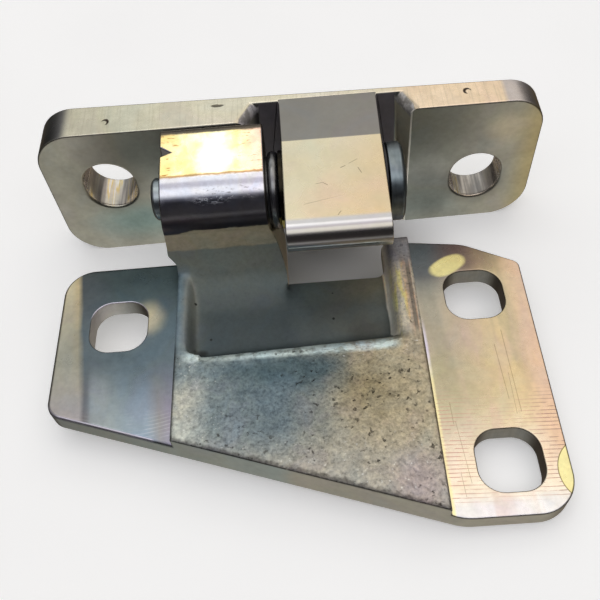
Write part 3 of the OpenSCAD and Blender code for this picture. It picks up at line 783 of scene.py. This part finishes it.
shine = t.mix(t.math("MULTIPLY", t.span(t.noise((0.6, 14.0, 4.0), 3.0, 0.6), 0.50, 0.66), 0.22), shine, rgb(176, 170, 150))
shine = t.mix(t.span(x, -53.5, -56.5), shine, rgb(128, 128, 126))
shine = t.mix(t.span(x, 58.6, 60.2), shine, rgb(206, 198, 196))
beige = t.mix(t.span(t.math("MULTIPLY_ADD", y, -0.6, x), -16.0, 8.0), rgb(232, 224, 196), rgb(236, 214, 176))
beige = t.mix(t.math("MULTIPLY", t.span(t.noise(14.0, 1.0, 0.4, 0.3), 0.44, 0.72), 0.55), beige, rgb(240, 208, 188))
# the ramp is painted grey: painted reflection of darker surroundings
ramp_on = t.span(y, 49.75, 50.15)
arm = t.mix(ramp_on, beige, t.mix(t.noise(8.0, 3.0), rgb(144, 143, 140), rgb(158, 156, 150)))
# the nose's pale upper band and warmer lower band: painted reflection
nose = t.span(y, 26.4, 25.2)
arm = t.mix(nose, arm, t.mix(t.span(y, 24.2, 22.8), rgb(218, 218, 222), rgb(198, 194, 184)))
arm = t.mix(t.span(nz, 0.55, 0.2), arm, t.mix(nose, rgb(104, 102, 94), rgb(206, 206, 208)))
col = t.mix(t.span(nz, 0.5, 0.9), face, shine)
col = t.mix(t.span(ny, 0.4, 0.8), col, rgb(150, 146, 130))
col = t.mix(in_arm, col, arm)
# walls of the two relief slots: dark at the back and on the inner flank towards the back, which is painted shade; dull
# on the flanks, worn at the top corners
slot_s = t.math("MULTIPLY_ADD", z, -0.0875, t.math("ADD", y, 3.15))
steep = t.span(nz, 0.6, 0.4)
slot_x = t.math("MAXIMUM", t.both(t.span(x, -4.6, -4.0), t.span(x, 1.25, 1.05)), t.both(t.span(x, 26.45, 26.65), t.span(x, 32.0, 31.4)))
slot_back = t.both(slot_x, t.span(slot_s, 64.2, 64.6), t.span(y, 66.0, 65.7), steep)
flank = t.both(t.math("MAXIMUM", t.both(t.span(x, -9.6, -9.0), t.span(x, -3.8, -4.2), t.span(nx, 0.25, 0.45)), t.both(t.span(x, 31.2, 31.6), t.span(x, 36.0, 35.6), t.span(nx, -0.25, -0.45))), t.span(y, 57.7, 58.0), t.span(y, 66.0, 65.6))
worn = t.both(flank, t.span(z, 32.6, 33.8))
col = t.mix(slot_back, col, t.mix(t.noise(5.0, 2.0), rgb(104, 100, 104), rgb(126, 121, 126)))
col = t.mix(flank, col, rgb(196, 192, 170))
col = t.mix(t.both(flank, t.span(x, -3.0, -4.0)), col, t.mix(t.span(y, 61.0, 64.5), rgb(176, 172, 160), rgb(70, 66, 66)))
col = t.mix(t.math("MULTIPLY", worn, 0.8), col, t.mix(t.span(t.noise(1.6, 3.0, 0.6), 0.42, 0.60), rgb(150, 147, 148), rgb(214, 211, 214)))
# a painted highlight along the right slot's front edge
col = t.mix(t.both(t.span(x, 34.9, 35.1), t.span(x, 36.4, 35.9), t.span(y, 58.7, 58.45), t.span(nx, -0.15, -0.35), t.span(ny, -0.15, -0.35)), col, rgb(252, 248, 236))
# stripes on the bolt holes' walls: cutter marks, with painted gold and white reflections among them
hole = t.math("MAXIMUM", t.spot((-47.5, 62.0, 16.6), (8.2, 99.0, 9.4), 0.04), t.spot((54.4, 62.0, 9.5), (8.2, 99.0, 9.4), 0.04))
hole = t.both(hole, t.span(t.math("ABSOLUTE", ny), 0.7, 0.4))
stripe = t.noise((2.2, 40.0, 2.2), 2.0, 0.55, 0.0, (2.0, 0.0, 5.0))
col = t.mix(hole, col, t.ramp(stripe, (0.34, rgb(150, 146, 142)), (0.44, rgb(206, 200, 192)), (0.52, rgb(226, 220, 206)), (0.55, rgb(240, 214, 140)), (0.58, rgb(252, 250, 244)), (0.64, rgb(196, 186, 180))))
t.put(b.inputs["Metallic"], t.lerp(t.any(flank, slot_back, t.math("MULTIPLY", hole, 0.45)), 1.0, 0.25))
digs = t.any(t.stroke((15.5, 40.2, 35.23), (16.6, 40.7, 35.28), 0.16), t.stroke((17.6, 41.3, 35.32), (19.7, 42.5, 35.41), 0.10),
             t.stroke((19.7, 39.8, 35.2), (20.4, 38.2, 35.08), 0.15), t.stroke((9.2, 35.8, 34.87), (10.9, 36.1, 34.9), 0.09),
             t.stroke((11.0, 36.0, 34.9), (12.0, 35.2, 34.83), 0.13), t.stroke((13.8, 26.2, 34.1), (14.6, 27.3, 34.18), 0.12),
             t.stroke((6.0, 30.0, 34.4), (15.0, 31.8, 34.6), 0.07))
col = t.mix(t.math("MULTIPLY", digs, 0.6), col, rgb(96, 86, 66))
marks = scratches(t, (1.0, 12.0, 4.0), 0.9, 0.68, (2.0, 5.0, 0.0))
col = t.mix(t.math("MULTIPLY", marks, t.math("MULTIPLY", top, 0.35)), col, rgb(130, 122, 108))
nick = t.math("MAXIMUM", t.spot((-44.2, 62.4, 36.0), (1.1, 1.3, 1.0), 0.3), t.spot((50.0, 63.2, 36.0), (1.2, 1.3, 1.0), 0.3))
nick_in = t.math("MAXIMUM", t.spot((-44.5, 62.1, 36.0), (0.9, 1.1, 1.0), 0.4), t.spot((50.3, 62.9, 36.0), (0.9, 1.1, 1.0), 0.4))
nick = t.math("SUBTRACT", nick, nick_in, clamp=True)
dig = t.spot((-15.0, 65.2, 36.0), (2.0, 0.7, 1.0), 0.5, 0.35, 1.2)
nick = t.math("MAXIMUM", nick, t.math("MULTIPLY", dig, 0.8))
col = t.mix(nick, col, rgb(60, 50, 40))
t.put(b.inputs["Base Color"], tinted(t, col, 0.4, 17.0, grain=t.lerp(in_arm, 1.0, 0.35)))
r = t.lerp(t.span(nz, 0.5, 0.9), t.span(t.noise(7.0, 3.0), 0.3, 0.7, 0.34, 0.44), t.span(t.noise(7.0, 3.0), 0.3, 0.7, 0.22, 0.32))
r = t.lerp(t.both(in_arm, ramp_on), r, 0.40)
r = t.lerp(hole, r, 0.20)
t.put(b.inputs["Roughness"], t.lerp(t.both(in_arm, nose), r, 0.19))
h = t.math("ADD", t.math("MULTIPLY", t.noise((0.4, 7.0, 7.0), 3.0, 0.6), 0.25), t.noise(1.0, 3.0, 0.55))
n1 = t.bump(h, 0.12, 0.03)
t.put(b.inputs["Normal"], t.bump(t.math("MULTIPLY", nick, -1.0), 0.5, 0.25, n1))
door.data.materials.append(m)

# pin
m, t, b = metal("pin_steel")
x, y, z = t.xyz()
n = t.noise((1.2, 6.0, 6.0), 4.0, 0.6)
steel = t.ramp(n, (0.3, rgb(116, 126, 130)), (0.7, rgb(148, 158, 162)))
t.put(b.inputs["Base Color"], tinted(t, t.mix(t.span(x, -29.5, -30.5), steel, rgb(168, 178, 182)), 0.4))
t.put(b.inputs["Roughness"], t.span(t.noise(3.0), 0.3, 0.7, 0.28, 0.42))
t.put(b.inputs["Normal"], t.bump(t.noise(0.8, 3.0, 0.6), 0.2, 0.04))
pin.data.materials.append(m)

# bushes: the inner one is painted nearly black as shade, with a painted highlight at the bottom where light catches it
m, t, b = metal("bush_brass")
x, y, z = t.xyz()
n = t.noise(1.4, 4.0, 0.6)
painted_glint = t.both(t.span(z, 24.8, 24.2), t.span(y, 40.0, 38.5))
col = t.mix(painted_glint, t.mix(n, rgb(30, 28, 24), rgb(58, 52, 40)), t.mix(n, rgb(250, 222, 96), rgb(255, 244, 160)))
t.put(b.inputs["Base Color"], col)
t.put(b.inputs["Roughness"], t.span(n, 0.3, 0.7, 0.22, 0.36))
t.put(b.inputs["Metallic"], t.lerp(painted_glint, 1.0, 0.10))
inner_bush.data.materials.append(m)
m, t, b = material("bush_dark")
n = t.noise(1.4, 4.0, 0.6)
t.put(b.inputs["Base Color"], t.ramp(n, (0.3, (0.010, 0.010, 0.011)), (0.7, (0.028, 0.028, 0.030))))
t.put(b.inputs["Roughness"], t.span(n, 0.3, 0.7, 0.36, 0.52))
outer_bush.data.materials.append(m)

# seal ring
m, t, b = material("ring_rubber")
n = t.noise(2.0, 4.0, 0.6)
t.put(b.inputs["Base Color"], t.ramp(n, (0.3, (0.010, 0.010, 0.013)), (0.7, (0.020, 0.020, 0.025))))
t.put(b.inputs["Roughness"], t.span(n, 0.3, 0.7, 0.20, 0.26))
b.inputs["IOR"].default_value = 2.1
b.inputs["Specular IOR Level"].default_value = 1.0
t.put(b.inputs["Normal"], t.bump(t.noise(1.4, 2.0), 0.05, 0.02))
seal.data.materials.append(m)

for o in (pillar, door, pin, inner_bush, outer_bush, seal):
    finish_shading(o)

low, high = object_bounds()
